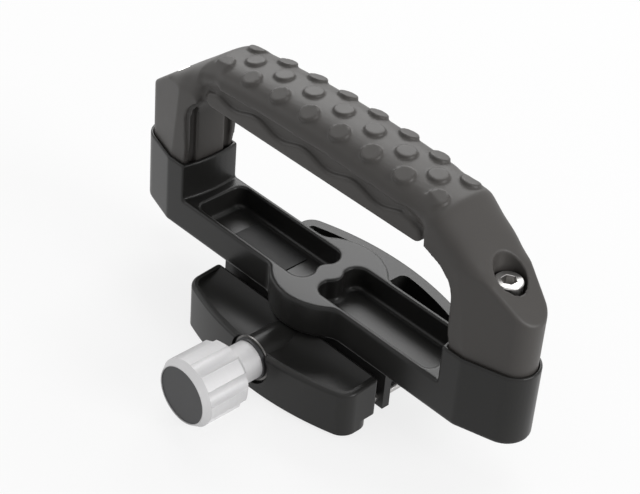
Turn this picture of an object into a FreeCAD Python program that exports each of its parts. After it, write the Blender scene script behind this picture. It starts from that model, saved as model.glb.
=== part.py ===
import FreeCAD, Part
import math
import os

# Camera handle: a moulded grip on a machined bar, with a screw-knob dovetail clamp under the bar.
# X runs along the handle, the knob points to -Y, and Z=0 is the clamp's underside.
# All sizes are in millimetres.

# Base bar
bar_width = 25.4
bar_height = 12.7
boss_radius = 20.4
boss_blend_radius = 6.0
bar_edge_round = 0.7
nose_radius = 9.0
nose_centre_x = 82.3
end_taper_deg = 16.8
end_corner_round = 2.5
bar_bottom_round = 0.6
pocket_depth = 9.0
pocket_wall = 2.0
pocket_end_x = 57.4
pocket_end_radius = 3.6
pocket_hub_end_radius = 4.8
pocket_floor_round = 2.0
pocket_rim_round = 0.6
web_thickness = 6.2
hub_radius = 5.0
hub_blend_radius = 2.4

# End sockets
socket_inner_x = 61.6
socket_inner_bow = 1.5
socket_rise = 14.5
socket_wall = 1.2
socket_clearance = 0.1
socket_edge_round = 0.5

# Grip
grip_half_width = 13.2
crown_rise = 8.5
crown_power = 2.6
grip_top = 96.55
grip_arch_radius = 407.0
crease_arch_radius = 700.0
shoulder_start_x = 55.0
shoulder_slope = 0.788
grip_sections = 4
edge_crown_rise = 1.0
flat_shoulder_x = 72.0
shoulder_rim_round = 1.6
shoulder_cover = 0.3
column_half_width = 6.5
column_inner_x = 63.4
column_gap_lift = 0.6
column_gap_corner = 12.0
leg_wall_low_x = 64.4
leg_wall_high_x = 62.0
leg_wall_gap_lift = 2.45
leg_wall_gap_corner = 16.0
core_half_width = 10.2
relief_half_length = 53.5
relief_end_radius = 7.0
relief_round = 1.6
relief_cut_below = 10.0
relief_cut_out = 10.0
pad_half_width = 11.7
pad_half_length = 51.0
pad_centre_x = -3.2
grip_depth = 20.5
pad_edge_round = 1.4
pad_end_height = 6.0
finger_pitch = 23.0
finger_wave = 1.3
finger_lift = 6.4
finger_phase = 17.0
finger_run_out = 5.0
finger_points = 28
leg_groove_radius = 1.5
leg_groove_offset = 8.0
leg_groove_depth = 0.8
leg_groove_drop = 2.0

# Bumps on the grip
bump_pitch = 14.1
bump_radius = 3.5
bump_height = 1.0
bump_edge_round = 0.35
bump_root = 1.5
bump_row_y = 8.6
bump_row_bow = 1.3

# Grip screws, 1/4 inch
grip_screw_x = 75.3
grip_screw_radius = 3.175
grip_screw_tip_lift = 4.2
grip_screw_head_radius = 4.76
grip_screw_head_height = 6.35
grip_screw_hex = 4.76
grip_head_depth = 22.5
grip_washer_radius = 5.4
grip_washer_thickness = 1.2
counterbore_radius = 5.75
screw_clearance = 0.2

# Clamp
clamp_length = 80.5
clamp_height = 19.05
clamp_front_y = -35.8
clamp_rear_y = 37.0
clamp_arch_radius = 114.0
clamp_corner_radius = 6.0
clamp_edge_round = 1.2
dovetail_width = 38.1
channel_depth = 3.5
lip_reach = 2.5
lip_end_radius = 5.0
jaw_gap = 3.0
body_front_y = -11.3
jaw_top_clearance = 0.45
jaw_rear_corner = 1.5
jaw_top_fall = 1.9
jaw_edge_round = 1.2
jaw_ridge_width = 2.3
jaw_basin_start = 1.2
jaw_basin_low_y = -26.5
jaw_basin_height = 15.6
jaw_basin_lip = 0.7
jaw_hump_radius = 7.2
rib_thickness = 3.2
end_notch_x = 33.5
end_notch_rear_y = 16.0
slot_band = 4.6
slot_inner_y = 20.0
slot_depth = 11.0
slot_middle_half = 5.5
slot_end_x = 36.5
slot_corner_radius = 3.0

# Clamp screw, knob and guides
screw_axis_share = 0.6
clamp_screw_radius = 3.175
clamp_screw_head_radius = 4.76
clamp_screw_head_height = 6.35
clamp_screw_tip_y = 5.0
running_clearance = 0.05
jaw_bore_clearance = 0.25
bush_radius = 5.5
bush_length = 8.0
screw_cavity_radius = 5.0
screw_cavity_end_y = 8.6
end_ring_radius = 4.4
end_ring_y = 2.2
end_ring_thickness = 1.0
spring_seat_radius = 5.6
spring_seat_depth = 8.0
spring_radius = 4.5
spring_wire_radius = 0.45
spring_turns = 5.0
spring_play = 0.1
guide_pin_radius = 1.5
guide_pin_x = 36.8
guide_pin_height = 6.6
guide_pin_front_y = -23.5
guide_pin_rear_y = 27.0
spotface_radius = 9.0
spotface_depth = 2.0
ring_radius = 8.3
ring_thickness = 0.6
washer_radius = 7.6
washer_thickness = 1.2
knob_front_y = -65.0
knob_radius = 12.4
knob_flute_end_y = -47.0
knob_rear_chamfer = 1.8
neck_radius = 6.9
knob_rim_chamfer = 1.6
knob_rim_chamfer_length = 2.4
cap_radius = 10.45
cap_thickness = 1.2
cap_recess = 0.3
head_bore_radius = 5.0
head_bore_floor_y = -56.7
flute_count = 7
flute_cutter_radius = 3.2
flute_depth = 2.2
flute_front_y = -62.7
flute_start_deg = 20.0

# Screws and dowel between the clamp and the bar
mounting_screw_radius = 2.0
mounting_screw_x = 7.0
mounting_screw_y = 15.2
mounting_head_radius = 3.5
mounting_head_height = 4.0
mounting_counterbore_radius = 3.75
mounting_counterbore_depth = 4.4
mounting_screw_length = 18.0
mounting_hex = 3.0
locating_pin_radius = 2.0
locating_pin_y = 16.0
locating_pin_half_length = 6.5

# Worked out from the sizes above
bar_bottom = clamp_height
bar_top = bar_bottom + bar_height
socket_top = bar_top + socket_rise
leg_inset = socket_wall + socket_clearance
leg_half_width = bar_width / 2 - leg_inset
jaw_rear_y = body_front_y - jaw_gap
half_channel = dovetail_width / 2
half_clamp = clamp_length / 2
pad_bottom = grip_top - grip_depth
column_gap_top = pad_bottom + column_gap_lift
leg_wall_gap_top = pad_bottom + leg_wall_gap_lift
finger_line = pad_bottom + finger_lift
leg_groove_top = pad_bottom - leg_groove_drop
grip_head_top = grip_top - grip_head_depth
grip_screw_tip = bar_bottom + grip_screw_tip_lift
grip_screw_length = grip_head_top - grip_screw_head_height - grip_screw_tip
screw_axis_height = clamp_height * screw_axis_share
locating_pin_bottom = clamp_height - locating_pin_half_length
locating_pin_top = clamp_height + locating_pin_half_length
knob_rear_y = clamp_front_y + spotface_depth - ring_thickness - washer_thickness
through = 200.0

X_AXIS = FreeCAD.Vector(1, 0, 0)
Y_AXIS = FreeCAD.Vector(0, 1, 0)
Z_AXIS = FreeCAD.Vector(0, 0, 1)
ORIGIN = FreeCAD.Vector(0, 0, 0)


def vec(x, y, z=0.0):
    return FreeCAD.Vector(x, y, z)


def line(a, b):
    return Part.LineSegment(a, b).toShape()


def arc(a, middle, b):
    return Part.Arc(a, middle, b).toShape()


def prism(edges, direction):
    return Part.Face(Part.Wire(edges)).extrude(direction)


def box(x0, x1, y0, y1, z0, z1):
    return Part.makeBox(x1 - x0, y1 - y0, z1 - z0, vec(x0, y0, z0))


def upright(radius, x, y, z0, z1):
    return Part.makeCylinder(radius, z1 - z0, vec(x, y, z0), Z_AXIS)


def along_y(radius, x, z, y0, y1):
    return Part.makeCylinder(radius, y1 - y0, vec(x, y0, z), Y_AXIS)


def mirrored(shape):
    return shape.mirror(ORIGIN, X_AXIS)


def edges_where(shape, test):
    """Edges whose two ends and middle all pass the test."""
    found = []
    for edge in shape.Edges:
        points = [v.Point for v in edge.Vertexes]
        points.append(edge.valueAt((edge.FirstParameter + edge.LastParameter) / 2))
        if all(test(p) for p in points):
            found.append(edge)
    return found


def vertical_edges(shape, test):
    """Straight upright edges that pass the test."""
    found = []
    for edge in shape.Edges:
        if len(edge.Vertexes) == 2:
            a, b = [v.Point for v in edge.Vertexes]
            if math.hypot(a.x - b.x, a.y - b.y) < 1e-4 and abs(a.z - b.z) > 1e-3 and test(a):
                found.append(edge)
    return found


def end_outline(start_x, inset, bow, half=None):
    """Plan outline of one end, from start_x outwards, drawn inset by a wall."""
    if half is None:
        half = bar_width / 2 - inset
    radius = nose_radius - inset
    taper = math.radians(end_taper_deg)
    touch_x = nose_centre_x + radius * math.sin(taper)
    touch_y = radius * math.cos(taper)
    taper_x = touch_x - (half - touch_y) / math.tan(taper)
    corner_x = start_x + bow
    inner = line(vec(corner_x, half), vec(corner_x, -half))
    if bow:
        inner = arc(vec(corner_x, half), vec(start_x, 0), vec(corner_x, -half))
    return [
        inner,
        line(vec(corner_x, -half), vec(taper_x, -half)),
        line(vec(taper_x, -half), vec(touch_x, -touch_y)),
        arc(vec(touch_x, -touch_y), vec(nose_centre_x + radius, 0), vec(touch_x, touch_y)),
        line(vec(touch_x, touch_y), vec(taper_x, half)),
        line(vec(taper_x, half), vec(corner_x, half)),
    ]


def plan_block(start_x, inset, bow, z0, z1):
    """Block of one end's outline, with the soft upright corners where its sides turn in to the nose."""
    block = prism(end_outline(start_x, inset, bow), vec(0, 0, z1 - z0))
    half = bar_width / 2 - inset
    corners = vertical_edges(block, lambda p: p.x > socket_inner_x + 4 * bow + 0.1 and abs(p.y) > half - 0.01)
    block = block.makeFillet(end_corner_round - inset, corners)
    block.translate(vec(0, 0, z0))
    return block


def end_block(inset, z0, z1):
    """One end socket, or its cavity, as a block."""
    return plan_block(socket_inner_x + inset, inset, socket_inner_bow, z0, z1)


def pocket():
    """One top pocket as a cutter, with its rounded corners, hub bulge and floor."""
    half = bar_width / 2 - pocket_wall
    floor = bar_top - pocket_depth
    cutter = box(web_thickness / 2, pocket_end_x, -half, half, floor, bar_top + through)
    cutter = cutter.cut(upright(hub_radius, 0, 0, floor - 1, bar_top + through + 1))
    cutter = cutter.makeFillet(pocket_end_radius, vertical_edges(cutter, lambda p: p.x > pocket_end_x - 0.1))
    cutter = cutter.makeFillet(
        pocket_hub_end_radius,
        vertical_edges(cutter, lambda p: p.x < web_thickness and abs(p.y) > half - 0.1))
    cutter = cutter.makeFillet(
        hub_blend_radius, vertical_edges(cutter, lambda p: p.x < web_thickness and abs(p.y) < hub_radius))
    return cutter.makeFillet(pocket_floor_round, edges_where(cutter, lambda p: abs(p.z - floor) < 1e-4))


def base_bar():
    half_bar = plan_block(-1.0, 0, 0, bar_bottom, bar_top)
    bar = half_bar.fuse(mirrored(half_bar)).removeSplitter()
    bar = bar.fuse(upright(boss_radius, 0, 0, bar_bottom, bar_top)).removeSplitter()
    bar = bar.makeFillet(boss_blend_radius, vertical_edges(bar, lambda p: abs(p.x) < boss_radius))
    rims = edges_where(bar, lambda p: abs(p.z - bar_top) < 1e-4)
    bar = bar.makeFillet(bar_edge_round, rims)
    bar = bar.makeFillet(bar_bottom_round, edges_where(bar, lambda p: abs(p.z - bar_bottom) < 1e-4))
    socket = end_block(0, bar_bottom + bar_bottom_round, socket_top).cut(end_block(socket_wall, bar_top, socket_top + 1))
    socket = socket.makeFillet(
        socket_edge_round, edges_where(socket, lambda p: abs(p.z - socket_top) < 1e-4))
    cavity = end_block(socket_wall, bar_top, socket_top)
    bar = bar.cut([cavity, mirrored(cavity)])
    bar = bar.fuse([socket, mirrored(socket)]).removeSplitter()
    cutter = pocket()
    bar = bar.cut([cutter, mirrored(cutter)])
    half = bar_width / 2 - pocket_wall
    rims = edges_where(bar, lambda p: abs(p.z - bar_top) < 1e-4 and abs(p.x) < pocket_end_x + 0.1
                       and abs(p.y) < half + 0.1)
    bar = bar.makeFillet(pocket_rim_round, rims)
    cutters = []
    for x in (-grip_screw_x, grip_screw_x):
        cutters.append(upright(grip_screw_radius, x, 0, grip_screw_tip, bar_top + 1))
    mounting_tip = channel_depth + mounting_counterbore_depth + mounting_screw_length
    for x in (-mounting_screw_x, mounting_screw_x):
        cutters.append(upright(mounting_screw_radius, x, mounting_screw_y, bar_bottom - 1, mounting_tip))
    cutters.append(upright(locating_pin_radius, 0, locating_pin_y, bar_bottom - 1, locating_pin_top))
    return bar.cut(cutters)


# Height of the grip's crease, and of its upper surface, at a place along the handle
def shoulder_height(x):
    start = grip_top - shoulder_start_x ** 2 / (2 * grip_arch_radius)
    return start - (abs(x) - shoulder_start_x) * shoulder_slope


def top_height(x):
    if abs(x) < shoulder_start_x:
        return grip_top - x ** 2 / (2 * grip_arch_radius)
    return shoulder_height(x)


def crown_at(x):
    """Rise of the crown over the crease: full on the grip, dying out down the shoulder."""
    share = min(max((flat_shoulder_x - abs(x)) / (flat_shoulder_x - shoulder_start_x), 0), 1)
    arch_gap = x ** 2 / (2 * grip_arch_radius) - x ** 2 / (2 * crease_arch_radius)
    if abs(x) < shoulder_start_x:
        return crown_rise - arch_gap
    end_gap = shoulder_start_x ** 2 * (1 / grip_arch_radius - 1 / crease_arch_radius) / 2
    return edge_crown_rise + share * (crown_rise - end_gap - edge_crown_rise)


def surface_height(x, y):
    inner = 1 - (abs(y) / grip_half_width) ** crown_power
    crown = crown_at(x)
    return top_height(x) - crown + crown * max(inner, 0) ** (1 / crown_power)


def surface_normal(x, y):
    step = 0.01
    along = (surface_height(x + step, y) - surface_height(x - step, y)) / (2 * step)
    across = (surface_height(x, y + step) - surface_height(x, y - step)) / (2 * step)
    return vec(-along, -across, 1).normalize()


def grip_section(x, lift=0):
    """Closed section across the grip at one place along it."""
    points = []
    steps = 16
    for i in range(steps + 1):
        angle = math.pi * i / steps
        reach = math.copysign(abs(math.cos(angle)) ** (2 / crown_power), math.cos(angle))
        y = grip_half_width * reach
        rise = math.sin(angle) ** (2 / crown_power)
        points.append(vec(x, y, top_height(x) + lift - crown_at(x) * (1 - rise)))
    crown = Part.BSplineCurve()
    crown.interpolate(points)
    corners = [points[-1]]
    for y, z in ((-leg_half_width, socket_top), (-leg_half_width, bar_top),
                 (leg_half_width, bar_top), (leg_half_width, socket_top)):
        corners.append(vec(x, y, z))
    corners.append(points[0])
    sides = [line(a, b) for a, b in zip(corners, corners[1:])]
    return Part.Wire([crown.toShape()] + sides)


def grip_blank():
    """The arched middle, and on each end a straight shoulder whose crown dies out."""
    step = shoulder_start_x / grip_sections
    middle = [grip_section(step * i) for i in range(-grip_sections, grip_sections + 1)]
    blank = Part.makeLoft(middle, True, False)
    far_x = nose_centre_x + nose_radius
    flat = grip_section(flat_shoulder_x, shoulder_cover)
    shoulder = Part.makeLoft([grip_section(shoulder_start_x), flat], True, True)
    end = Part.makeLoft([flat, grip_section(far_x, shoulder_cover)], True, True)
    return blank.fuse([shoulder, end, mirrored(shoulder), mirrored(end)])


def shoulder_cutter():
    """Everything above one shoulder's flat face."""
    start_x = shoulder_start_x - nose_radius
    end_x = nose_centre_x + 2 * nose_radius
    corners = [(start_x, shoulder_height(start_x)), (end_x, shoulder_height(end_x)), (end_x, through), (start_x, through)]
    points = [vec(x, -grip_half_width * 2, z) for x, z in corners]
    return Part.Face(Part.makePolygon(points + points[:1])).extrude(vec(0, 4 * grip_half_width, 0))


def nose_tool():
    """Plan shape of both ends of the grip under flat shoulders, with the shoulders' rims rounded."""
    half = grip_half_width + 1
    end = prism(end_outline(0, leg_inset, 0, half), vec(0, 0, through))
    end.translate(vec(0, 0, bar_top))
    end = end.cut(shoulder_cutter())

    def on_rim(p):
        return p.x > socket_inner_x and abs(p.z - shoulder_height(p.x)) < 1e-3 and abs(p.y) < half + 0.01

    rims = [e for e in edges_where(end, on_rim) if abs(e.Vertexes[0].Y - e.Vertexes[-1].Y) > 1]
    end = end.makeFillet(shoulder_rim_round, rims)
    return end.fuse(mirrored(end)).removeSplitter()


def hand_gap(low_x, high_x, top, corner, y0, y1):
    """Opening for the hand as a cutter, for one slice of the grip's width."""
    bend = corner * (1 - math.sqrt(0.5))
    low = bar_top - 1
    knee = top - corner
    half = [(low_x, low), (low_x, socket_top), (high_x, knee), (high_x - bend, top - bend), (high_x - corner, top)]
    right = [vec(x, y0, z) for x, z in half]
    left = [vec(-x, y0, z) for x, z in half]
    edges = [
        line(left[0], right[0]), line(right[0], right[1]), line(right[1], right[2]),
        arc(right[2], right[3], right[4]), line(right[4], left[4]), arc(left[4], left[3], left[2]),
        line(left[2], left[1]), line(left[1], left[0]),
    ]
    return prism(edges, vec(0, y1 - y0, 0))


def hand_gaps():
    """The gap as the middle column leaves it, and the wider one between the leg walls."""
    outer = grip_half_width + 1
    wall = (leg_wall_low_x, leg_wall_high_x, leg_wall_gap_top, leg_wall_gap_corner)
    column = (column_inner_x, column_inner_x, column_gap_top, column_gap_corner)
    return [
        hand_gap(*column, -outer, outer),
        hand_gap(*wall, column_half_width, outer),
        hand_gap(*wall, -outer, -column_half_width),
    ]


def crease_height(x):
    return top_height(x) - crown_at(x)


def side_relief(side):
    """Cutter that sets the grip's side back under the crease."""
    y = side * core_half_width
    low = pad_bottom - relief_cut_below
    bend = relief_end_radius * (1 - math.sqrt(0.5))
    left, right = pad_centre_x - relief_half_length, pad_centre_x + relief_half_length
    left_turn, right_turn = left + relief_end_radius, right - relief_end_radius
    left_top, right_top = crease_height(left_turn), crease_height(right_turn)
    left_knee, right_knee = left_top - relief_end_radius, right_top - relief_end_radius
    edges = [
        line(vec(left, y, low), vec(right, y, low)),
        line(vec(right, y, low), vec(right, y, right_knee)),
        arc(vec(right, y, right_knee), vec(right - bend, y, right_top - bend), vec(right_turn, y, right_top)),
        arc(vec(right_turn, y, right_top), vec(0, y, crease_height(0)), vec(left_turn, y, left_top)),
        arc(vec(left_turn, y, left_top), vec(left + bend, y, left_top - bend), vec(left, y, left_knee)),
        line(vec(left, y, left_knee), vec(left, y, low)),
    ]
    cutter = prism(edges, vec(0, side * relief_cut_out, 0))
    inner = edges_where(cutter, lambda p: abs(p.y - y) < 1e-4 and p.z > low + 1)
    return cutter.makeFillet(relief_round, inner)


def finger_pad():
    """Underside pad with a wavy upper line and rounded ends."""
    y = -pad_half_width
    left, right = pad_centre_x - pad_half_length, pad_centre_x + pad_half_length
    left_turn, right_turn = left + pad_end_height / 2, right - pad_end_height / 2
    end_top = pad_bottom + pad_end_height
    end_middle = pad_bottom + pad_end_height / 2
    points = [vec(left_turn, y, end_top)]
    first, last = left_turn + finger_run_out, right_turn - finger_run_out
    for i in range(finger_points + 1):
        x = first + (last - first) * i / finger_points
        wave = math.cos(2 * math.pi * (x - finger_phase) / finger_pitch)
        points.append(vec(x, y, finger_line + finger_wave * wave))
    points.append(vec(right_turn, y, end_top))
    wavy = Part.BSplineCurve()
    wavy.interpolate(points)
    edges = [
        line(vec(left_turn, y, pad_bottom), vec(right_turn, y, pad_bottom)),
        arc(vec(right_turn, y, pad_bottom), vec(right, y, end_middle), vec(right_turn, y, end_top)),
        wavy.toShape(),
        arc(vec(left_turn, y, end_top), vec(left, y, end_middle), vec(left_turn, y, pad_bottom)),
    ]
    pad = prism(edges, vec(0, 2 * pad_half_width, 0))
    sides = edges_where(pad, lambda p: abs(abs(p.y) - pad_half_width) < 1e-4)
    return pad.makeFillet(pad_edge_round, sides)


def bump(x, y):
    foot = vec(x, y, surface_height(x, y))
    normal = surface_normal(x, y)
    shape = Part.makeCylinder(bump_radius, bump_root + bump_height, foot - normal * bump_root, normal)
    face = foot + normal * bump_height
    rim = [e for e in shape.Edges if all((v.Point - face).Length < bump_radius + 0.1 for v in e.Vertexes)
           and len(e.Vertexes) == 1]
    return shape.makeFillet(bump_edge_round, rim)


def bumps():
    places = [(k * bump_pitch, 0) for k in range(-3, 4)]
    for side in (-1, 1):
        for k in range(-4, 4):
            x = (k + 0.5) * bump_pitch
            bow = bump_row_bow * (x / (3.5 * bump_pitch)) ** 2
            places.append((x, side * (bump_row_y - bow)))
    return [bump(x, y) for x, y in places]


def grip_handle():
    grip = grip_blank().common(nose_tool())
    grip = grip.cut(hand_gaps() + [side_relief(1), side_relief(-1)])
    grip = grip.fuse([finger_pad()] + bumps())
    floor = grip_head_top - grip_screw_head_height - grip_washer_thickness
    cutters = []
    for x in (-grip_screw_x, grip_screw_x):
        cutters.append(upright(counterbore_radius, x, 0, floor, through))
        cutters.append(upright(grip_screw_radius + screw_clearance, x, 0, bar_top - 1, floor + 1))
    groove_x = column_inner_x + leg_groove_depth
    for x in (-groove_x, groove_x):
        for y in (-leg_groove_offset, leg_groove_offset):
            cutters.append(upright(leg_groove_radius, x, y, bar_top - 1, leg_groove_top))
    return grip.cut(cutters)


def cap_screw(radius, length, head_radius, head_height, hex_across):
    """Socket-head cap screw, head up, with the underside of its head at Z=0."""
    head = Part.makeCylinder(head_radius, head_height)
    head = head.makeFillet(head_radius * 0.08, edges_where(head, lambda p: abs(p.z - head_height) < 1e-4))
    corner = hex_across / math.sqrt(3)
    ring = [vec(corner * math.cos(math.pi * i / 3), corner * math.sin(math.pi * i / 3), head_height / 2)
            for i in range(7)]
    socket = Part.Face(Part.makePolygon(ring)).extrude(vec(0, 0, head_height))
    shank = Part.makeCylinder(radius, length + 0.5, vec(0, 0, -length), Z_AXIS)
    shank = shank.makeChamfer(radius * 0.2, edges_where(shank, lambda p: abs(p.z + length) < 1e-4))
    return head.cut(socket).fuse(shank).removeSplitter()


def grip_screws():
    screws = []
    for x in (-grip_screw_x, grip_screw_x):
        screw = cap_screw(grip_screw_radius, grip_screw_length, grip_screw_head_radius,
                          grip_screw_head_height, grip_screw_hex)
        screw.translate(vec(x, 0, grip_head_top - grip_screw_head_height))
        screws.append(screw)
    return Part.makeCompound(screws)


def washer(outer, inner, thickness):
    ring = Part.makeCylinder(outer, thickness)
    return ring.cut(Part.makeCylinder(inner, thickness))


def grip_washers():
    washers = []
    for x in (-grip_screw_x, grip_screw_x):
        ring = washer(grip_washer_radius, grip_screw_radius + screw_clearance, grip_washer_thickness)
        ring.translate(vec(x, 0, grip_head_top - grip_screw_head_height - grip_washer_thickness))
        washers.append(ring)
    return Part.makeCompound(washers)


def arched_outline(apex_y, side, inset):
    """Plan block from the middle line out to the bowed edge on one side, with rounded outer corners."""
    radius = clamp_arch_radius - inset
    centre_y = apex_y - side * clamp_arch_radius
    end_x = half_clamp - inset
    end_y = centre_y + side * math.sqrt(radius ** 2 - end_x ** 2)
    tip_y = centre_y + side * radius
    edges = [
        line(vec(-end_x, 0), vec(end_x, 0)),
        line(vec(end_x, 0), vec(end_x, end_y)),
        arc(vec(end_x, end_y), vec(0, tip_y), vec(-end_x, end_y)),
        line(vec(-end_x, end_y), vec(-end_x, 0)),
    ]
    block = prism(edges, vec(0, 0, clamp_height))
    corners = vertical_edges(block, lambda p: abs(p.y - end_y) < 0.01)
    return block.makeFillet(clamp_corner_radius - inset, corners)


def dovetail(side):
    """Cutter for half of the channel, from the middle line to one flank."""
    mouth = half_channel - lip_reach
    lip_top = channel_depth - lip_reach
    x = -half_clamp - 1
    points = [
        vec(x, 0, -1), vec(x, side * mouth, -1), vec(x, side * mouth, lip_top),
        vec(x, side * half_channel, channel_depth), vec(x, 0, channel_depth), vec(x, 0, -1),
    ]
    channel = Part.Face(Part.makePolygon(points)).extrude(vec(clamp_length + 2, 0, 0))
    reach = mouth + lip_end_radius
    leads = []
    for end in (-1, 1):
        centre = end * (half_clamp - lip_end_radius)
        block = box(min(centre, end * (half_clamp + 1)), max(centre, end * (half_clamp + 1)),
                    min(0, side * reach), max(0, side * reach), -1, channel_depth)
        block = block.cut(upright(lip_end_radius, centre, side * reach, -1, channel_depth))
        leads.append(block)
    return channel.fuse(leads)


def rear_slot():
    """One deep slot in the rear jaw's top, following its bowed edge."""
    outer = arched_outline(clamp_rear_y, 1, slot_band)
    keep = box(slot_middle_half, slot_end_x, slot_inner_y, clamp_rear_y, 0, clamp_height)
    slot = outer.common(keep)
    slot = slot.makeFillet(slot_corner_radius, vertical_edges(slot, lambda p: True))
    slot.translate(vec(0, 0, clamp_height - slot_depth))
    return slot


def clamp_body():
    body = arched_outline(clamp_rear_y, 1, 0)
    body = body.fuse(box(-half_clamp, half_clamp, body_front_y, 1, 0, clamp_height)).removeSplitter()
    outer = edges_where(body, lambda p: abs(p.z - clamp_height) < 1e-4 and p.y > 1)
    body = body.makeFillet(clamp_edge_round, outer)
    slot = rear_slot()
    cutters = [dovetail(1), dovetail(-1), slot, mirrored(slot)]
    for end in (-1, 1):
        inner = end * end_notch_x
        outside = end * (half_clamp + 1)
        cutters.append(box(min(inner, outside), max(inner, outside), body_front_y + rib_thickness,
                           end_notch_rear_y, -1, clamp_height + 1))
        cutters.append(along_y(guide_pin_radius, end * guide_pin_x, guide_pin_height,
                               body_front_y - 1, guide_pin_rear_y))
        cutters.append(upright(mounting_screw_radius + screw_clearance, end * mounting_screw_x,
                               mounting_screw_y, 0, clamp_height + 1))
        cutters.append(upright(mounting_counterbore_radius, end * mounting_screw_x, mounting_screw_y,
                               0, channel_depth + mounting_counterbore_depth))
    cutters.append(along_y(bush_radius, 0, screw_axis_height, body_front_y - 1, body_front_y + bush_length))
    cutters.append(along_y(screw_cavity_radius, 0, screw_axis_height, body_front_y, screw_cavity_end_y))
    cutters.append(upright(locating_pin_radius, 0, locating_pin_y, locating_pin_bottom, clamp_height + 1))
    return body.cut(cutters)


def jaw_top_height(y):
    """Height of the jaw's sloping top, from the seam down to the ridge."""
    share = (jaw_rear_y - y) / (jaw_rear_y - clamp_front_y)
    return clamp_height - jaw_top_clearance - share * jaw_top_fall


def yz_block(points, half_length):
    """Block with a profile across the clamp, running along it."""
    wire = [vec(-half_length, y, z) for y, z in points]
    return Part.Face(Part.makePolygon(wire + wire[:1])).extrude(vec(2 * half_length, 0, 0))


def above_jaw_top():
    front = clamp_front_y - 5
    over = clamp_height + 1
    return yz_block([(jaw_rear_y + 1, jaw_top_height(jaw_rear_y)), (jaw_rear_y, jaw_top_height(jaw_rear_y)),
                     (front, jaw_top_height(front)), (front, over), (jaw_rear_y + 1, over)], half_clamp + 1)


def jaw_basin():
    """Dished hollow in the jaw's top, with the ridge left round its front and ends."""
    plan = arched_outline(clamp_front_y, -1, jaw_ridge_width)
    front = clamp_front_y + jaw_ridge_width
    rear = jaw_rear_y - jaw_basin_start
    length = half_clamp + 1
    over = clamp_height + 1
    dish = Part.Wire([
        arc(vec(-length, rear, jaw_top_height(rear)), vec(-length, jaw_basin_low_y, jaw_basin_height),
            vec(-length, front, jaw_top_height(front) - jaw_basin_lip)),
        line(vec(-length, front, jaw_top_height(front) - jaw_basin_lip), vec(-length, front - 1, over)),
        line(vec(-length, front - 1, over), vec(-length, rear, over)),
        line(vec(-length, rear, over), vec(-length, rear, jaw_top_height(rear))),
    ])
    return plan.common(Part.Face(dish).extrude(vec(2 * length, 0, 0)))


def moving_jaw():
    jaw = arched_outline(clamp_front_y, -1, 0)
    jaw = jaw.cut(box(-half_clamp, half_clamp, jaw_rear_y, 1, 0, clamp_height))
    jaw = jaw.makeFillet(jaw_rear_corner, vertical_edges(jaw, lambda p: abs(p.y - jaw_rear_y) < 0.01))
    jaw = jaw.cut(above_jaw_top())
    rim = edges_where(jaw, lambda p: abs(p.z - jaw_top_height(p.y)) < 1e-3 and p.y < jaw_rear_y - jaw_rear_corner)
    jaw = jaw.makeFillet(jaw_edge_round, rim)
    jaw = jaw.cut(jaw_basin())
    hump = along_y(jaw_hump_radius, 0, screw_axis_height, clamp_front_y - 1, jaw_rear_y)
    hump = hump.common(arched_outline(clamp_front_y, -1, 0))
    jaw = jaw.fuse(hump).removeSplitter()
    floor_y = clamp_front_y + spotface_depth
    cutters = [
        dovetail(-1),
        along_y(spotface_radius, 0, screw_axis_height, clamp_front_y - 5, floor_y),
        along_y(clamp_screw_radius + jaw_bore_clearance, 0, screw_axis_height, floor_y - 1, 1),
        along_y(spring_seat_radius, 0, screw_axis_height, jaw_rear_y - spring_seat_depth, 1),
    ]
    for x in (-guide_pin_x, guide_pin_x):
        cutters.append(along_y(guide_pin_radius + running_clearance, x, guide_pin_height,
                               guide_pin_front_y - jaw_gap, 1))
    return jaw.cut(cutters)


def guide_pins():
    length_ends = (guide_pin_front_y, guide_pin_rear_y)
    return Part.makeCompound([along_y(guide_pin_radius, x, guide_pin_height, *length_ends)
                              for x in (-guide_pin_x, guide_pin_x)])


def clamp_screw():
    length = clamp_screw_tip_y - head_bore_floor_y
    screw = cap_screw(clamp_screw_radius, length, clamp_screw_head_radius,
                      clamp_screw_head_height, grip_screw_hex)
    screw.rotate(ORIGIN, X_AXIS, 90)
    screw.translate(vec(0, head_bore_floor_y, screw_axis_height))
    return screw


def ring_on_screw(outer, inner, y0, y1):
    return along_y(outer, 0, screw_axis_height, y0, y1).cut(along_y(inner, 0, screw_axis_height, y0, y1))


def threaded_bush():
    return ring_on_screw(bush_radius, clamp_screw_radius + running_clearance,
                         body_front_y, body_front_y + bush_length)


def end_ring():
    return ring_on_screw(end_ring_radius, clamp_screw_radius, end_ring_y, end_ring_y + end_ring_thickness)


def bearing_ring():
    floor_y = clamp_front_y + spotface_depth
    return ring_on_screw(ring_radius, clamp_screw_radius + jaw_bore_clearance, floor_y - ring_thickness, floor_y)


def thrust_washer():
    face_y = clamp_front_y + spotface_depth - ring_thickness
    return ring_on_screw(washer_radius, clamp_screw_radius + jaw_bore_clearance,
                         face_y - washer_thickness, face_y)


def jaw_spring():
    start_y = jaw_rear_y - spring_seat_depth + spring_play + spring_wire_radius
    end_y = body_front_y - spring_play - spring_wire_radius
    height = end_y - start_y
    helix = Part.makeHelix(height / spring_turns, height, spring_radius)
    profile = Part.Wire(Part.makeCircle(spring_wire_radius, vec(spring_radius, 0, 0), Y_AXIS))
    coil = Part.Wire(helix).makePipeShell([profile], True, True)
    coil.rotate(ORIGIN, X_AXIS, -90)
    coil.translate(vec(0, start_y, screw_axis_height))
    return coil


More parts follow.
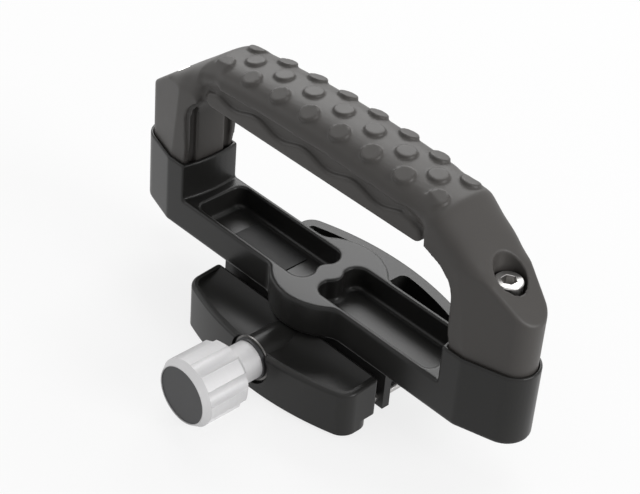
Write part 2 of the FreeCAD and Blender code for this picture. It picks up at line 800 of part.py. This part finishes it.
def knob():
    """Turned body with its neck, then the flutes and bores."""
    rear_y = knob_rear_y
    shoulder_y = knob_flute_end_y + knob_rear_chamfer

    def at(radius, y):
        return vec(radius, y, 0)

    points = [
        at(0, knob_front_y), at(knob_radius - knob_rim_chamfer, knob_front_y),
        at(knob_radius, knob_front_y + knob_rim_chamfer_length), at(knob_radius, knob_flute_end_y),
        at(knob_radius - knob_rear_chamfer, shoulder_y), at(neck_radius, shoulder_y),
        at(neck_radius, rear_y), at(0, rear_y), at(0, knob_front_y),
    ]
    body = Part.Face(Part.makePolygon(points)).revolve(ORIGIN, Y_AXIS, 360)
    cutters = []
    for i in range(flute_count):
        angle = math.radians(flute_start_deg) + 2 * math.pi * i / flute_count
        centre = knob_radius + flute_cutter_radius - flute_depth
        cutters.append(along_y(flute_cutter_radius, centre * math.cos(angle), centre * math.sin(angle),
                               flute_front_y, shoulder_y + 1))
    cutters.append(along_y(cap_radius, 0, 0, knob_front_y, knob_front_y + cap_recess + cap_thickness))
    cutters.append(along_y(head_bore_radius, 0, 0, knob_front_y, head_bore_floor_y))
    cutters.append(along_y(clamp_screw_radius, 0, 0, head_bore_floor_y - 1, rear_y + 1))
    body = body.cut(cutters)
    body.translate(vec(0, 0, screw_axis_height))
    return body


def knob_cap():
    front = knob_front_y + cap_recess
    return along_y(cap_radius, 0, screw_axis_height, front, front + cap_thickness)


def mounting_screws():
    screws = []
    for x in (-mounting_screw_x, mounting_screw_x):
        screw = cap_screw(mounting_screw_radius, mounting_screw_length, mounting_head_radius,
                          mounting_head_height, mounting_hex)
        screw.rotate(ORIGIN, X_AXIS, 180)
        screw.translate(vec(x, mounting_screw_y, channel_depth + mounting_counterbore_depth))
        screws.append(screw)
    return Part.makeCompound(screws)


def locating_pin():
    return upright(locating_pin_radius, 0, locating_pin_y, locating_pin_bottom, locating_pin_top)


nodes = {
    "base_bar": base_bar,
    "grip_handle": grip_handle,
    "grip_screws": grip_screws,
    "grip_washers": grip_washers,
    "clamp_body": clamp_body,
    "moving_jaw": moving_jaw,
    "guide_pins": guide_pins,
    "clamp_screw": clamp_screw,
    "threaded_bush": threaded_bush,
    "end_ring": end_ring,
    "jaw_spring": jaw_spring,
    "bearing_ring": bearing_ring,
    "thrust_washer": thrust_washer,
    "knob": knob,
    "knob_cap": knob_cap,
    "mounting_screws": mounting_screws,
    "locating_pin": locating_pin,
}

os.makedirs("parts", exist_ok=True)
for name, make in nodes.items():
    shape = make()
    if not shape.isValid():
        raise ValueError(name + " is not a valid solid")
    shape.exportStep("parts/" + name + ".step")
    print(name, len(shape.Solids), "solid,", round(shape.Volume), "mm3")
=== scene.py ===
import math

import bmesh
import bpy
from mathutils import Matrix, Vector


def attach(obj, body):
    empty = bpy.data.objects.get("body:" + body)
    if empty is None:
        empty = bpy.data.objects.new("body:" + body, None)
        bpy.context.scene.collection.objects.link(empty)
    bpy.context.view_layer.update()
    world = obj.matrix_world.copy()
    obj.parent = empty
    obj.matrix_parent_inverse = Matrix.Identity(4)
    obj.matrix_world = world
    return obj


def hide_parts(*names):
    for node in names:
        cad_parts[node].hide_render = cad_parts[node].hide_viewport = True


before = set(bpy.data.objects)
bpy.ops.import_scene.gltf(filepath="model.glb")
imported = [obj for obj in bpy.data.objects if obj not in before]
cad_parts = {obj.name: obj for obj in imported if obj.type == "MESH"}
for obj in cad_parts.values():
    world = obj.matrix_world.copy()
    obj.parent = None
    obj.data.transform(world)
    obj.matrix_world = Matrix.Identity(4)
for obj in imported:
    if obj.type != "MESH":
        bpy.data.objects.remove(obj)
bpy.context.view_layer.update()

MM = 0.001

# Places and sizes shared with the solids, in metres
floor_height = -1.1 * MM
pocket_floor_z = 22.75 * MM
label_left_x = -45.0 * MM
label_right_x = -18.0 * MM
label_half_width = 7.6 * MM
label_thickness = 0.35 * MM
label_corner = 1.2 * MM
label_edge = 0.1 * MM

grip_screw_x = 75.3 * MM
grip_screw_top = 74.05 * MM
quarter_inch = 3.175 * MM
coarse_pitch = 1.27 * MM
quarter_head_radius = 4.72 * MM
quarter_head_height = 6.35 * MM
quarter_hex = 4.76 * MM
grip_screw_length = 44.45 * MM

clamp_axis_z = 11.43 * MM
clamp_screw_seat_y = -56.7 * MM
clamp_screw_length = 61.7 * MM

mounting_screw_x = 7.0 * MM
mounting_screw_y = 15.2 * MM
mounting_seat_z = 7.9 * MM
mounting_radius = 2.0 * MM
mounting_pitch = 0.7 * MM
mounting_head_radius = 3.47 * MM
mounting_head_height = 4.0 * MM
mounting_hex = 3.0 * MM
mounting_length = 18.0 * MM

moulding_voxel = 0.55 * MM
blasting_voxel = 0.53 * MM
blend_from_x = 52.0 * MM
blend_full_x = 62.0 * MM
blend_fade_x = 74.0 * MM
blend_end_x = 84.0 * MM
blend_low_z = 76.0 * MM
bore_clear_from = 6.0 * MM
bore_clear_to = 8.5 * MM
end_bump_x = 49.35 * MM
end_bump_y = 7.30 * MM
bump_clear_from = 4.1 * MM
bump_clear_to = 5.7 * MM
blend_rise = 3.0 * MM
blend_passes = 120
relief_end_left_x = -52.0 * MM
relief_end_right_x = 45.5 * MM
relief_end_z = 84.0 * MM
relief_end_from = 3.0 * MM
relief_end_to = 7.0 * MM
relief_end_rise = 1.5 * MM
relief_end_inner_y = 8.0 * MM
relief_end_outer_y = 9.5 * MM

columns = 96
knurl_depth = 0.10 * MM
thread_steps = 30
thread_depth_share = 0.54
thread_sink = 0.03 * MM
thread_foot = 0.48
thread_crest = 0.07
screw_tip_share = 0.4
head_round_share = 0.08
head_foot_share = 0.97
socket_depth_share = 0.5
socket_chamfer = 0.1 * MM
socket_point = 0.4 * MM
smooth_limit_deg = 35.0
merge_distance = 0.001 * MM

# Sockets of Blender's Mix node when it mixes colours
mix_first_colour = 6
mix_second_colour = 7
mix_colour_result = 2


# Shader maths
class Value:
    """A socket that can be used in plain arithmetic."""

    def __init__(self, tree, socket):
        self.tree = tree
        self.socket = socket

    def maths(self, operation, *others):
        node = self.tree.nodes.new("ShaderNodeMath")
        node.operation = operation
        for place, term in enumerate((self,) + others):
            if isinstance(term, Value):
                self.tree.links.new(term.socket, node.inputs[place])
            else:
                node.inputs[place].default_value = term
        return Value(self.tree, node.outputs[0])

    def __add__(self, other):
        return self.maths("ADD", other)

    def __radd__(self, other):
        return self.maths("ADD", other)

    def __mul__(self, other):
        return self.maths("MULTIPLY", other)

    def __rmul__(self, other):
        return self.maths("MULTIPLY", other)

    def limit(self):
        """Keeps the result between 0 and 1."""
        self.socket.node.use_clamp = True
        return self


class Nodes:
    """One node tree. Its Math nodes come from expressions on values, and all others from node()."""

    def __init__(self, tree, output_kind):
        self.tree = tree
        self.tree.nodes.clear()
        self.output = self.node(output_kind)

    def fill(self, socket, given):
        if isinstance(given, Value):
            given = given.socket
        if isinstance(given, bpy.types.NodeSocket):
            self.tree.links.new(given, socket)
        else:
            socket.default_value = given

    def node(self, kind, settings=None, numbered=None, **named):
        """Makes a node: its settings first, then its sockets by number, then by name."""
        made = self.tree.nodes.new(kind)
        for key, setting in (settings or {}).items():
            setattr(made, key, setting)
        for number, given in (numbered or {}).items():
            self.fill(made.inputs[number], given)
        for key, given in named.items():
            self.fill(made.inputs[key.replace("_", " ")], given)
        return made

    def show(self, shader):
        self.fill(self.output.inputs["Surface"], shader.outputs[0])

    def looked_at(self):
        """1 for what the camera, a mirror or glass sees, and 0 for the light that falls on the object."""
        path = self.node("ShaderNodeLightPath")
        rays = ("Is Camera Ray", "Is Glossy Ray", "Is Transmission Ray")
        seen, mirrored, through = (Value(self.tree, path.outputs[ray]) for ray in rays)
        return (seen + mirrored + through).limit()


class Finish(Nodes):
    """One procedural material, on Object coordinates."""

    def __init__(self, name):
        self.material = bpy.data.materials.new(name)
        self.material.use_nodes = True
        super().__init__(self.material.node_tree, "ShaderNodeOutputMaterial")
        self.place = self.node("ShaderNodeTexCoord").outputs["Object"]

    def stretched(self, x=1.0, y=1.0, z=1.0):
        return self.node("ShaderNodeMapping", Vector=self.place, Scale=(x, y, z)).outputs["Vector"]

    def noise(self, scale, detail=2.0, vector=None, roughness=0.5):
        made = self.node("ShaderNodeTexNoise", Vector=vector or self.place, Scale=scale,
                         Detail=detail, Roughness=roughness)
        return Value(self.tree, made.outputs["Fac"])

    def mix_colour(self, factor, first, second):
        colours = {mix_first_colour: (*first, 1.0), mix_second_colour: (*second, 1.0)}
        made = self.node("ShaderNodeMix", {"data_type": "RGBA"}, colours, Factor=factor)
        return made.outputs[mix_colour_result]

    def bump(self, height, strength, depth):
        made = self.node("ShaderNodeBump", Height=height, Strength=strength, Distance=depth)
        return made.outputs["Normal"]

    def surface(self, colour, roughness, normal, **constants):
        self.show(self.node("ShaderNodeBsdfPrincipled", Base_Color=colour, Roughness=roughness,
                            Normal=normal, **constants))
        return self.material


def moulded_plastic():
    """Warm grey nylon with a fine spark-eroded grain and faint handling marks."""
    finish = Finish("moulded_grip_plastic")
    cloud = finish.noise(28.0, 3.0)
    grain = finish.noise(2600.0, 1.0)
    marks = finish.noise(160.0, 4.0)
    colour = finish.mix_colour(cloud, (0.050, 0.0465, 0.0435), (0.061, 0.057, 0.0535))
    roughness = 0.38 + 0.08 * cloud + 0.06 * marks
    height = grain + 0.35 * marks
    return finish.surface(colour, roughness, finish.bump(height, 0.3, 0.00005), Specular_IOR_Level=0.3)


def black_anodised():
    """Bead-blasted black anodising: even, satin, a little grey where it catches light."""
    finish = Finish("black_anodised_metal")
    cloud = finish.noise(35.0, 2.0)
    blasted = finish.noise(3200.0, 1.0)
    colour = finish.mix_colour(cloud, (0.014, 0.0137, 0.013), (0.019, 0.0186, 0.0178))
    roughness = 0.27 + 0.06 * cloud + 0.05 * blasted
    return finish.surface(colour, roughness, finish.bump(blasted, 0.2, 0.00003), Specular_IOR_Level=0.25)


def satin_aluminium():
    """Turned aluminium: fine rings across the knob's axis, which runs along Y."""
    finish = Finish("satin_turned_aluminium")
    turned = finish.noise(1.0, 3.0, finish.stretched(60.0, 5200.0, 60.0))
    cloud = finish.noise(60.0, 2.0)
    colour = finish.mix_colour(turned, (0.60, 0.595, 0.60), (0.67, 0.665, 0.67))
    roughness = 0.54 + 0.08 * turned + 0.05 * cloud
    return finish.surface(colour, roughness, finish.bump(turned, 0.12, 0.00003), Metallic=0.35)


def bright_steel():
    finish = Finish("bright_steel")
    drawn = finish.noise(1500.0, 2.0)
    cloud = finish.noise(120.0, 2.0)
    colour = finish.mix_colour(cloud, (0.42, 0.41, 0.40), (0.54, 0.53, 0.52))
    roughness = 0.26 + 0.12 * drawn
    return finish.surface(colour, roughness, finish.bump(drawn, 0.15, 0.00003), Metallic=1.0)


def black_oxide():
    finish = Finish("black_oxide_cap")
    cloud = finish.noise(90.0, 2.0)
    fine = finish.noise(2400.0, 1.0)
    colour = finish.mix_colour(cloud, (0.035, 0.035, 0.037), (0.048, 0.048, 0.050))
    roughness = 0.38 + 0.10 * fine
    return finish.surface(colour, roughness, finish.bump(fine, 0.2, 0.00003), Metallic=0.2)


def dark_steel():
    """Oiled steel of the ring and the spring: greyer and duller than the screws."""
    finish = Finish("oiled_dark_steel")
    drawn = finish.noise(1500.0, 2.0)
    cloud = finish.noise(120.0, 2.0)
    colour = finish.mix_colour(cloud, (0.16, 0.155, 0.15), (0.24, 0.235, 0.23))
    roughness = 0.34 + 0.12 * drawn
    return finish.surface(colour, roughness, finish.bump(drawn, 0.15, 0.00003), Metallic=1.0)


def label_black():
    finish = Finish("label_black")
    cloud = finish.noise(200.0, 2.0)
    colour = finish.mix_colour(cloud, (0.006, 0.006, 0.006), (0.009, 0.009, 0.009))
    roughness = 0.42 + 0.10 * cloud
    return finish.surface(colour, roughness, finish.bump(cloud, 0.1, 0.00002), Specular_IOR_Level=0.15)


grip_finish = moulded_plastic()
black_finish = black_anodised()
knob_finish = satin_aluminium()
steel_finish = bright_steel()
oiled_finish = dark_steel()
oxide_finish = black_oxide()
label_finish = label_black()

node_finishes = {
    "base_bar": black_finish,
    "grip_handle": grip_finish,
    "grip_washers": steel_finish,
    "clamp_body": black_finish,
    "moving_jaw": black_finish,
    "guide_pins": steel_finish,
    "threaded_bush": steel_finish,
    "end_ring": steel_finish,
    "jaw_spring": oiled_finish,
    "bearing_ring": oiled_finish,
    "thrust_washer": oxide_finish,
    "knob": knob_finish,
    "knob_cap": oxide_finish,
    "locating_pin": steel_finish,
}
for name, finish in node_finishes.items():
    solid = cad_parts[name]
    solid.data.materials.clear()
    solid.data.materials.append(finish)


def finished(name, mesh, material, body):
    """Turns a bmesh into an object that rides on a body."""
    data = bpy.data.meshes.new(name)
    bmesh.ops.recalc_face_normals(mesh, faces=mesh.faces)
    mesh.to_mesh(data)
    mesh.free()
    data.materials.append(material)
    made = bpy.data.objects.new(name, data)
    bpy.context.scene.collection.objects.link(made)
    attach(made, body)
    return made


def rounded(mesh, edges, radius, segments):
    bmesh.ops.bevel(mesh, geom=edges, offset=radius, affect="EDGES", segments=segments, profile=0.5,
                    material=-1)


def label_plate():
    """Bare black plate on the left pocket's floor."""
    mesh = bmesh.new()
    bmesh.ops.create_cube(mesh, size=1.0)
    length = label_right_x - label_left_x
    middle = Vector(((label_left_x + label_right_x) / 2, 0, pocket_floor_z + label_thickness / 2))
    bmesh.ops.scale(mesh, vec=(length, 2 * label_half_width, label_thickness), verts=mesh.verts)
    bmesh.ops.translate(mesh, vec=middle, verts=mesh.verts)
    upright = [e for e in mesh.edges if abs(e.verts[0].co.z - e.verts[1].co.z) > label_thickness / 2]
    rounded(mesh, upright, label_corner, 6)
    top = [e for e in mesh.edges if all(v.co.z > middle.z for v in e.verts)]
    rounded(mesh, top, label_edge, 2)
    return finished("label_plate", mesh, label_finish, "frame")


label_plate()


def ramp(value, start, end):
    """Smooth step from 0 at start to 1 at end."""
    share = min(max((value - start) / (end - start), 0.0), 1.0)
    return share * share * (3 - 2 * share)


def relax(mesh, verts):
    """One pass that moves each vertex half way to the middle of its neighbours."""
    bmesh.ops.smooth_vert(mesh, verts=verts, factor=0.5, use_axis_x=True, use_axis_y=True, use_axis_z=True)


def softened(name, node, voxel, passes, finish, body, blended=None):
    """Finely remeshed copy of a solid with its edges rounded off, as a mould or a blasting leaves them."""
    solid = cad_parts[node]
    copy = bmesh.new()
    copy.from_mesh(solid.data)
    bmesh.ops.remove_doubles(copy, verts=copy.verts, dist=merge_distance)
    working = bpy.data.meshes.new("working")
    copy.to_mesh(working)
    copy.free()
    holder = bpy.data.objects.new("working", working)
    bpy.context.scene.collection.objects.link(holder)
    remesh = holder.modifiers.new("even_mesh", "REMESH")
    remesh.mode = "VOXEL"
    remesh.voxel_size = voxel
    snap = holder.modifiers.new("back_to_surface", "SHRINKWRAP")
    snap.target = solid
    snap.wrap_method = "NEAREST_SURFACEPOINT"
    ready = holder.evaluated_get(bpy.context.evaluated_depsgraph_get())
    mesh = bmesh.new()
    mesh.from_mesh(ready.to_mesh())
    bpy.data.objects.remove(holder)
    bpy.data.meshes.remove(working)
    for _ in range(passes):
        relax(mesh, mesh.verts)
    if blended:
        blended(mesh)
    for face in mesh.faces:
        face.smooth = True
    made = finished(name, mesh, finish, body)
    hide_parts(node)
    return made


def blend_shoulders(mesh):
    """Melts the crease between grip and shoulders, and the corner over each end of the finger pad."""
    wanted = []
    for vert in mesh.verts:
        x, y, z = vert.co
        reach = abs(x)
        share = ramp(reach, blend_from_x, blend_full_x) * (1 - ramp(reach, blend_fade_x, blend_end_x))
        share *= ramp(z, blend_low_z, blend_low_z + blend_rise)
        share *= ramp(math.hypot(reach - grip_screw_x, y), bore_clear_from, bore_clear_to)
        share *= ramp(math.hypot(reach - end_bump_x, abs(y) - end_bump_y), bump_clear_from, bump_clear_to)
        pad_end = relief_end_left_x if x < 0 else relief_end_right_x
        corner = 1 - ramp(abs(x - pad_end), relief_end_from, relief_end_to)
        corner *= ramp(z, relief_end_z - relief_end_rise, relief_end_z)
        corner *= ramp(abs(y), relief_end_inner_y, relief_end_outer_y)
        wanted.append((max(share, corner) * blend_passes, vert))
    for step in range(blend_passes):
        moving = [vert for count, vert in wanted if count > step]
        relax(mesh, moving)


softened("moulded_grip", "grip_handle", moulding_voxel, 1, grip_finish, "frame",
         blend_shoulders)
softened("blasted_base_bar", "base_bar", blasting_voxel, 2, black_finish, "frame")


def drawn_in(mesh, edges, radius_from, radius_to, rise):
    """Continues a turned surface: extrudes a ring of edges to a new radius and height."""
    grown = bmesh.ops.extrude_edge_only(mesh, edges=edges)["geom"]
    verts = [v for v in grown if isinstance(v, bmesh.types.BMVert)]
    share = radius_to / radius_from
    bmesh.ops.scale(mesh, vec=(share, share, 1.0), verts=verts)
    bmesh.ops.translate(mesh, vec=(0, 0, rise), verts=verts)
    return [e for e in grown if isinstance(e, bmesh.types.BMEdge)], verts


def edges_at(verts):
    """The edges that meet at these vertices, each once and always in the same order."""
    return list(dict.fromkeys(edge for vert in verts for edge in vert.link_edges))


def cap_screw(radius, pitch, length, head_radius, head_height, hex_across):
    """Socket-head cap screw, knurled and threaded, head up, its head's underside at the origin."""
    mesh = bmesh.new()
    corner = hex_across / math.sqrt(3)
    edge_round = head_round_share * head_radius
    tip = screw_tip_share * radius
    hexagon = bmesh.ops.create_circle(mesh, segments=6, radius=corner)["verts"]
    bmesh.ops.subdivide_edges(mesh, edges=edges_at(hexagon), cuts=columns // 6 - 1)
    hex_edges = list(mesh.edges)
    rim = bmesh.ops.create_circle(mesh, segments=columns, radius=head_radius - edge_round)["verts"]
    rim_edges = edges_at(rim)
    bmesh.ops.translate(mesh, vec=(0, 0, head_height), verts=mesh.verts)
    bmesh.ops.bridge_loops(mesh, edges=hex_edges + rim_edges)
    ring, _ = drawn_in(mesh, hex_edges, 1.0, 0.94, -socket_chamfer)
    ring, _ = drawn_in(mesh, ring, 1.0, 1.0, -socket_depth_share * head_height)
    ring, _ = drawn_in(mesh, ring, 1.0, 0.3, -socket_point)
    bmesh.ops.contextual_create(mesh, geom=ring)
    ring, _ = drawn_in(mesh, rim_edges, head_radius - edge_round, head_radius, -edge_round)
    ring, top = drawn_in(mesh, ring, 1.0, 1.0, -0.06 * head_height)
    ring, low = drawn_in(mesh, ring, 1.0, 1.0, -0.76 * head_height)
    knurled = top + low
    ring, foot = drawn_in(mesh, ring, 1.0, 1.0, -0.12 * head_height)
    rest_of_head = -foot[0].co.z
    foot_radius = head_foot_share * head_radius
    ring, _ = drawn_in(mesh, ring, head_radius, foot_radius, rest_of_head)
    ring, _ = drawn_in(mesh, ring, foot_radius, radius, 0.0)
    root = radius - thread_depth_share * pitch
    ring, _ = drawn_in(mesh, ring, radius, root, -0.5 * pitch)
    ring, _ = drawn_in(mesh, ring, root, root, 0.5 * pitch - length + tip)
    ring, _ = drawn_in(mesh, ring, root, 0.8 * root, -tip)
    bmesh.ops.contextual_create(mesh, geom=ring)
    for vert in knurled:
        turn = math.atan2(vert.co.y, vert.co.x) / (2 * math.pi) * columns
        if round(turn) % 2:
            vert.co.xy *= 1 - knurl_depth / head_radius
    thread(mesh, radius, root, pitch, length)
    return mesh


def thread(mesh, radius, root, pitch, length):
    """Winds a V-shaped thread round the shank, from under the head to near the tip."""
    sunk = root - thread_sink
    tip = screw_tip_share * radius
    start = -length + tip + pitch
    turns = int((length - tip - 2.5 * pitch) / pitch)
    corners = [(sunk, -thread_foot), (radius, -thread_crest), (radius, thread_crest), (sunk, thread_foot)]
    profile = [mesh.verts.new((r, 0, start + share * pitch)) for r, share in corners]
    edges = [mesh.edges.new(pair) for pair in zip(profile, profile[1:])]
    steps = thread_steps * turns
    climb = (0, 0, pitch / thread_steps)
    bmesh.ops.spin(mesh, geom=profile + edges, cent=(0, 0, 0), axis=(0, 0, 1), dvec=climb,
                   angle=2 * math.pi * turns, steps=steps, use_merge=False)
    low, high = start + 0.2 * pitch, start + (turns - 0.2) * pitch
    for vert in mesh.verts:
        on_crest = abs(math.hypot(vert.co.x, vert.co.y) - radius) < 0.01 * MM
        at_end = abs(vert.co.y) < 0.3 * MM and (vert.co.z < low or vert.co.z > high)
        if vert.is_boundary and on_crest and at_end:
            vert.co.x *= sunk / radius
            vert.co.y *= sunk / radius


def join_in(target, source, place):
    """Adds a placed copy of one bmesh to another."""
    data = bpy.data.meshes.new("working")
    source.to_mesh(data)
    source.free()
    data.transform(place)
    target.from_mesh(data)
    bpy.data.meshes.remove(data)


def screw_piece(name, places, sizes, body, node):
    whole = bmesh.new()
    for place in places:
        join_in(whole, cap_screw(*sizes), place)
    made = finished(name, whole, steel_finish, body)
    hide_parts(node)
    smooth_by_angle(made, smooth_limit_deg)
    return made


def smooth_by_angle(made, degrees):
    for face in made.data.polygons:
        face.use_smooth = True
    limit = math.radians(degrees)
    check = bmesh.new()
    check.from_mesh(made.data)
    for edge in check.edges:
        if len(edge.link_faces) == 2 and edge.calc_face_angle() > limit:
            edge.smooth = False
    check.to_mesh(made.data)
    check.free()


quarter_head = (quarter_head_radius, quarter_head_height, quarter_hex)
quarter_sizes = (quarter_inch, coarse_pitch, grip_screw_length, *quarter_head)
grip_seat_z = grip_screw_top - quarter_head_height
grip_places = [Matrix.Translation((x, 0, grip_seat_z)) for x in (-grip_screw_x, grip_screw_x)]
screw_piece("grip_cap_screws", grip_places, quarter_sizes, "frame", "grip_screws")

clamp_sizes = (quarter_inch, coarse_pitch, clamp_screw_length, *quarter_head)
clamp_seat = Matrix.Translation((0, clamp_screw_seat_y, clamp_axis_z))
facing_out = clamp_seat @ Matrix.Rotation(math.radians(90), 4, "X")
screw_piece("knob_clamp_screw", [facing_out], clamp_sizes, "knob", "clamp_screw")

small_head = (mounting_head_radius, mounting_head_height, mounting_hex)
small_sizes = (mounting_radius, mounting_pitch, mounting_length, *small_head)
turned_over = Matrix.Rotation(math.pi, 4, "X")
heads_down = [Matrix.Translation((x, mounting_screw_y, mounting_seat_z)) @ turned_over
              for x in (-mounting_screw_x, mounting_screw_x)]
screw_piece("clamp_mounting_screws", heads_down, small_sizes, "frame", "mounting_screws")

# Floor: pale, and nearly white where it is seen
floor_half_size = 3.0
floor_grey = (0.86, 0.86, 0.86, 1.0)
floor_glow = 0.80
pure_white = (1.0, 1.0, 1.0, 1.0)
sky_strength = 0.28

floor_mesh = bmesh.new()
bmesh.ops.create_grid(floor_mesh, x_segments=1, y_segments=1, size=floor_half_size)
bmesh.ops.translate(floor_mesh, vec=(0, 0, floor_height), verts=floor_mesh.verts)
floor_data = bpy.data.meshes.new("floor")
floor_mesh.to_mesh(floor_data)
floor_mesh.free()
floor = bpy.data.objects.new("floor", floor_data)
bpy.context.scene.collection.objects.link(floor)

floor_finish = Finish("pale_floor")
painted = floor_finish.node("ShaderNodeBsdfDiffuse", Color=floor_grey)
glow = floor_finish.node("ShaderNodeEmission", Color=pure_white, Strength=1.0)
floor_layers = {1: painted.outputs[0], 2: glow.outputs[0]}
floor_share = floor_glow * floor_finish.looked_at()
floor_finish.show(floor_finish.node("ShaderNodeMixShader", None, floor_layers, Fac=floor_share))
floor_data.materials.append(floor_finish.material)

# World: soft grey light, white where it is seen or mirrored
world = bpy.data.worlds.new("studio")
bpy.context.scene.world = world
world.use_nodes = True
sky = Nodes(world.node_tree, "ShaderNodeOutputWorld")
soft = sky.node("ShaderNodeBackground", Color=pure_white, Strength=sky_strength)
white = sky.node("ShaderNodeBackground", Color=pure_white, Strength=1.0)
sky_layers = {1: soft.outputs[0], 2: white.outputs[0]}
sky.show(sky.node("ShaderNodeMixShader", None, sky_layers, Fac=sky.looked_at()))


def softbox(name, place, width, height, watts):
    """Rectangular lamp that faces the handle."""
    lamp = bpy.data.lights.new(name, "AREA")
    lamp.shape = "RECTANGLE"
    lamp.size = width
    lamp.size_y = height
    lamp.energy = watts
    made = bpy.data.objects.new(name, lamp)
    made.location = place
    made.rotation_euler = (lamp_target - Vector(place)).to_track_quat("-Z", "Y").to_euler()
    bpy.context.scene.collection.objects.link(made)


lamp_target = Vector((0.0, 0.0, 0.05))
softbox("back_panel", (-0.89, 0.93, 0.99), width=1.5, height=0.7, watts=17.0)
softbox("top_light", (0.0, 0.1, 1.2), width=0.8, height=0.8, watts=2.5)
softbox("side_light", (-0.9, -0.6, 0.5), width=0.5, height=0.5, watts=1.5)
softbox("right_light", (1.1, 0.25, 0.5), width=0.6, height=0.6, watts=9.0)

# Camera at the photo's angle
camera_place = Vector((0.34935, -0.37034, 0.41739))
azimuth = math.radians(43.78)
elevation = math.radians(36.42)
roll = math.radians(4.91)
focal_length = 105.36
sensor_width = 36.0
back = Vector((math.sin(azimuth) * math.cos(elevation), -math.cos(azimuth) * math.cos(elevation),
               math.sin(elevation)))
level_right = Vector((math.cos(azimuth), math.sin(azimuth), 0.0))
level_up = back.cross(level_right)
right = level_right * math.cos(roll) + level_up * math.sin(roll)
up = back.cross(right)
lens = bpy.data.cameras.new("camera")
lens.sensor_width = sensor_width
lens.lens = focal_length
camera = bpy.data.objects.new("camera", lens)
turn = Matrix((right, up, back)).transposed().to_4x4()
camera.matrix_world = Matrix.Translation(camera_place) @ turn
bpy.context.scene.collection.objects.link(camera)
bpy.context.scene.camera = camera

bpy.context.scene.view_settings.view_transform = "Standard"
